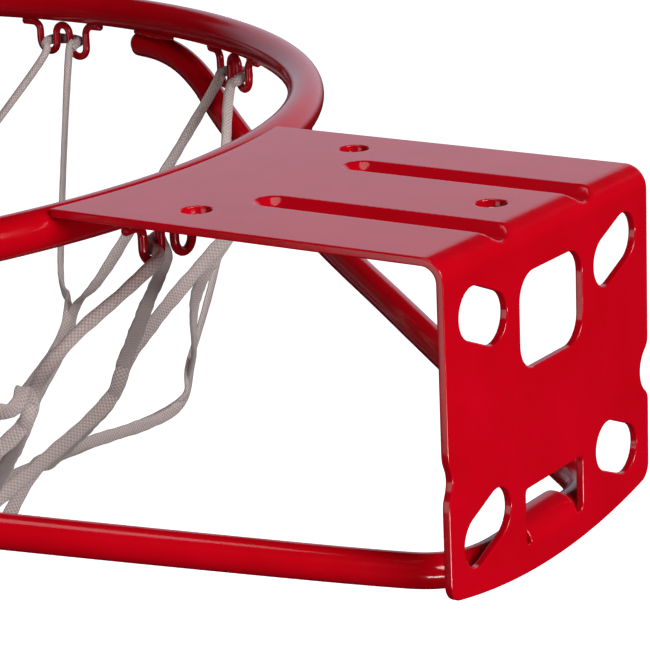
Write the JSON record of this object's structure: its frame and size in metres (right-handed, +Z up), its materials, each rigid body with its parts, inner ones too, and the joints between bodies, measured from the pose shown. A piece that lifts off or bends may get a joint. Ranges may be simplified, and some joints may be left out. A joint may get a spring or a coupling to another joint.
{
  "type": "basketball goal",
  "caption": "Steel basketball rim on a bent wall bracket, with a rod brace, wire net hooks and a corded net.",
  "frame": {"origin": "centre of the four corner slots, on the rear face of the bracket", "axes": "+Y is the rear face's outward normal, towards the backboard; +Z is up; the ring lies towards -Y"},
  "size_m": [0.483, 0.6056, 0.379],
  "materials": {
    "painted_sheet": "gloss red powder coat",
    "painted_rod": "gloss red powder coat",
    "painted_wire": "gloss red powder coat",
    "net_cord": "braided off-white cord"
  },
  "bodies": {
    "rim": {"bracket": "painted_sheet", "ring": "painted_rod", "brace": "painted_rod", "hook_01": "painted_wire", "hook_02": "painted_wire", "hook_03": "painted_wire", "hook_04": "painted_wire", "hook_05": "painted_wire", "hook_06": "painted_wire", "hook_07": "painted_wire", "hook_08": "painted_wire", "hook_09": "painted_wire", "hook_10": "painted_wire", "hook_11": "painted_wire", "hook_12": "painted_wire", "net_cord_01": "net_cord", "net_cord_02": "net_cord", "net_cord_03": "net_cord", "net_cord_04": "net_cord", "net_cord_05": "net_cord", "net_cord_06": "net_cord", "net_cord_07": "net_cord", "net_cord_08": "net_cord", "net_cord_09": "net_cord", "net_cord_10": "net_cord", "net_cord_11": "net_cord", "net_cord_12": "net_cord"},
    "net_hem": {"net_hem_knots": "net_cord"}
  },
  "joints": [
    {"name": "net_lift", "type": "slide", "parent": "rim", "child": "net_hem", "axis": [0, 0, 1], "range_m": [0, 0.12], "deforming": ["net_cord_01", "net_cord_02", "net_cord_03", "net_cord_04", "net_cord_05", "net_cord_06", "net_cord_07", "net_cord_08", "net_cord_09", "net_cord_10", "net_cord_11", "net_cord_12"]}
  ]
}
